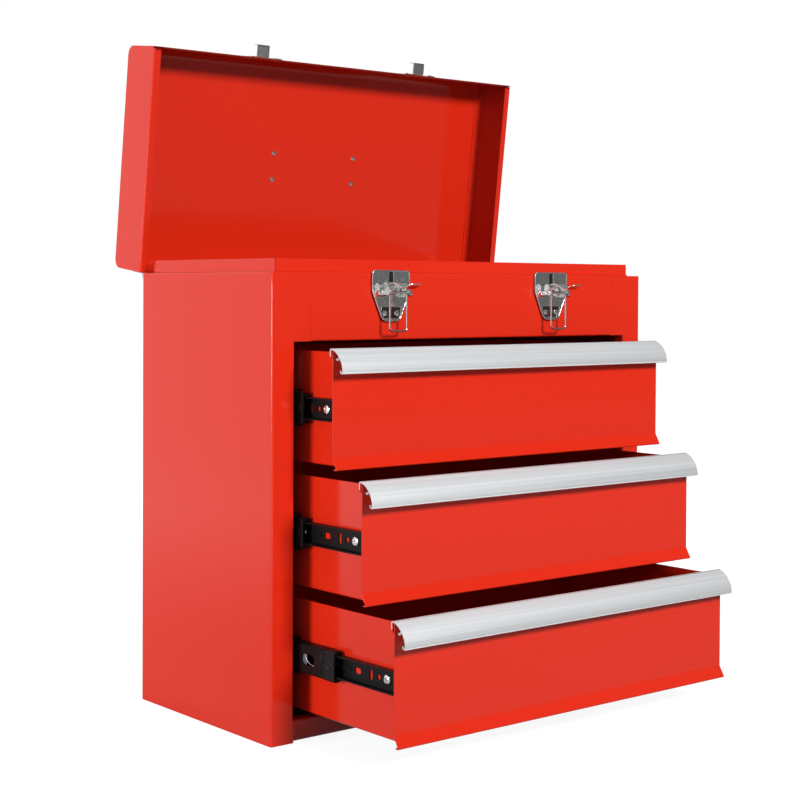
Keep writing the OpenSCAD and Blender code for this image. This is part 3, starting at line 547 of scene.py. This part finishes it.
studio = {
    "aim": Vector((0.0, 0.0, 0.3)),
    "darkEnd": Vector((0.74, -0.67, -0.1)).normalized(),    # in front to the right
    "bright": 1.0,          # what the paint mirrors of the white sweep behind and to the left
    "dim": 0.18,            # and of the dark end
    "fall": (-0.1, 0.7),    # cosines to the dark end between which bright turns to dim
    "ambient": 0.35,        # how much of either lights the pieces
    # the surround in polished metal, from the bright end (0) to the dark end (1)
    "mirrored": ((0.0, 1.0), (0.50, 1.0), (0.57, 0.04), (0.86, 0.04), (0.93, 0.2), (0.965, 0.08),
                 (0.982, 0.28), (0.99, 0.1), (0.995, 0.2), (1.0, 0.1)),
}
# the white floor, in metres
floorSetup = {
    "size": 8.0,
    "colour": (0.25, 0.25, 0.25, 1),
    "roughness": 0.9,
    "fall": (0.1, 1.2),         # distances towards the dark end between which bright turns to dim
    "reach": (0.4, 1.8),        # from the middle, where the first value below turns to the second
    "mirrored": (0.31, 0.91),   # brightness of the floor as other pieces mirror it
    "seen": (0.92, 1.0),        # and as the camera sees it
}
# bearing from the front towards the right and height in degrees, the rest in metres and watts
lamps = (
    {"name": "keyLamp", "bearing": 0.8, "height": 24, "distance": 2.8, "size": 0.5, "power": 63.5},
    {"name": "leftLamp", "bearing": -98.5, "height": 2, "distance": 2.8, "size": 0.5,
     "power": 45.5},
    {"name": "backLamp", "bearing": 158, "height": 24, "distance": 3, "size": 0.8, "power": 34},
)


def makeLamp(setup, aim):
    data = bpy.data.lights.new(setup["name"], "AREA")
    data.shape = "SQUARE"
    data.size = setup["size"]
    data.energy = setup["power"]
    lamp = bpy.data.objects.new(setup["name"], data)
    bpy.context.scene.collection.objects.link(lamp)
    bearing, height = radians(setup["bearing"]), radians(setup["height"])
    away = Vector((sin(bearing) * cos(height), -cos(bearing) * cos(height), sin(height)))
    turn = (-away).to_track_quat("-Z", "Y").to_matrix().to_4x4()
    lamp.matrix_world = Matrix.Translation(aim + away * setup["distance"]) @ turn


def towardsDark(tree, vector):
    node = addNode(tree, "ShaderNodeVectorMath", {0: vector, 1: studio["darkEnd"]},
                   operation="DOT_PRODUCT")
    return node.outputs["Value"]


def makeWorld(setup):
    world = bpy.data.worlds.new("studio")
    world.use_nodes = True
    tree = world.node_tree
    background = tree.nodes["Background"]
    path = addNode(tree, "ShaderNodeLightPath")
    dark = towardsDark(tree, addNode(tree, "ShaderNodeTexCoord").outputs["Generated"])
    level = mapped(tree, dark, *setup["fall"], setup["bright"], setup["dim"], "SMOOTHSTEP")
    level = calc(tree, "MULTIPLY", level, setup["ambient"])
    # the same surround as polished metal mirrors it, with hard edges
    mirrored = addNode(tree, "ShaderNodeValToRGB", {"Fac": mapped(tree, dark, -1.0, 1.0, 0.0, 1.0)})
    stops = mirrored.color_ramp.elements
    while len(stops) < len(setup["mirrored"]):
        stops.new(1.0)
    for stop, (position, value) in zip(stops, setup["mirrored"]):
        stop.position = position
        stop.color = (value, value, value, 1)
    glossy = calc(tree, "MULTIPLY", mirrored.outputs["Color"], path.outputs["Is Glossy Ray"])
    seen = calc(tree, "MAXIMUM", path.outputs["Is Camera Ray"], path.outputs["Is Transmission Ray"])
    strength = calc(tree, "MAXIMUM", calc(tree, "MAXIMUM", level, glossy), seen)
    feed(tree, background.inputs["Strength"], strength)
    background.inputs["Color"].default_value = (1, 1, 1, 1)
    bpy.context.scene.world = world


def makeFloor(setup, bright, dim):
    form = bmesh.new()
    bmesh.ops.create_grid(form, x_segments=1, y_segments=1, size=setup["size"] / 2)
    mesh = meshFrom(form, "floor")
    floor = bpy.data.objects.new("floor", mesh)
    bpy.context.scene.collection.objects.link(floor)
    material = bpy.data.materials.new("floorSweep")
    material.use_nodes = True
    tree = material.node_tree
    shader = tree.nodes["Principled BSDF"]
    shader.inputs["Base Color"].default_value = setup["colour"]
    shader.inputs["Roughness"].default_value = setup["roughness"]
    shader.inputs["Specular IOR Level"].default_value = 0.0
    shader.inputs["Emission Color"].default_value = (1, 1, 1, 1)
    place = addNode(tree, "ShaderNodeTexCoord").outputs["Object"]
    path = addNode(tree, "ShaderNodeLightPath")
    reach = addNode(tree, "ShaderNodeVectorMath", {0: place}, operation="LENGTH").outputs["Value"]
    dark = towardsDark(tree, place)
    level = mapped(tree, dark, *setup["fall"], bright, dim, "SMOOTHSTEP")
    share = mapped(tree, reach, *setup["reach"], *setup["mirrored"], "SMOOTHSTEP")
    mirrored = calc(tree, "MULTIPLY", calc(tree, "MULTIPLY", level, share),
                    path.outputs["Is Glossy Ray"])
    seen = mapped(tree, reach, *setup["reach"], *setup["seen"], "SMOOTHSTEP")
    seen = calc(tree, "MULTIPLY", seen, path.outputs["Is Camera Ray"])
    feed(tree, shader.inputs["Emission Strength"], calc(tree, "ADD", mirrored, seen))
    mesh.materials.append(material)


makeWorld(studio)
makeFloor(floorSetup, studio["bright"], studio["dim"])
for lamp in lamps:
    makeLamp(lamp, studio["aim"])
bpy.context.scene.view_settings.view_transform = "Standard"
print("studio set")
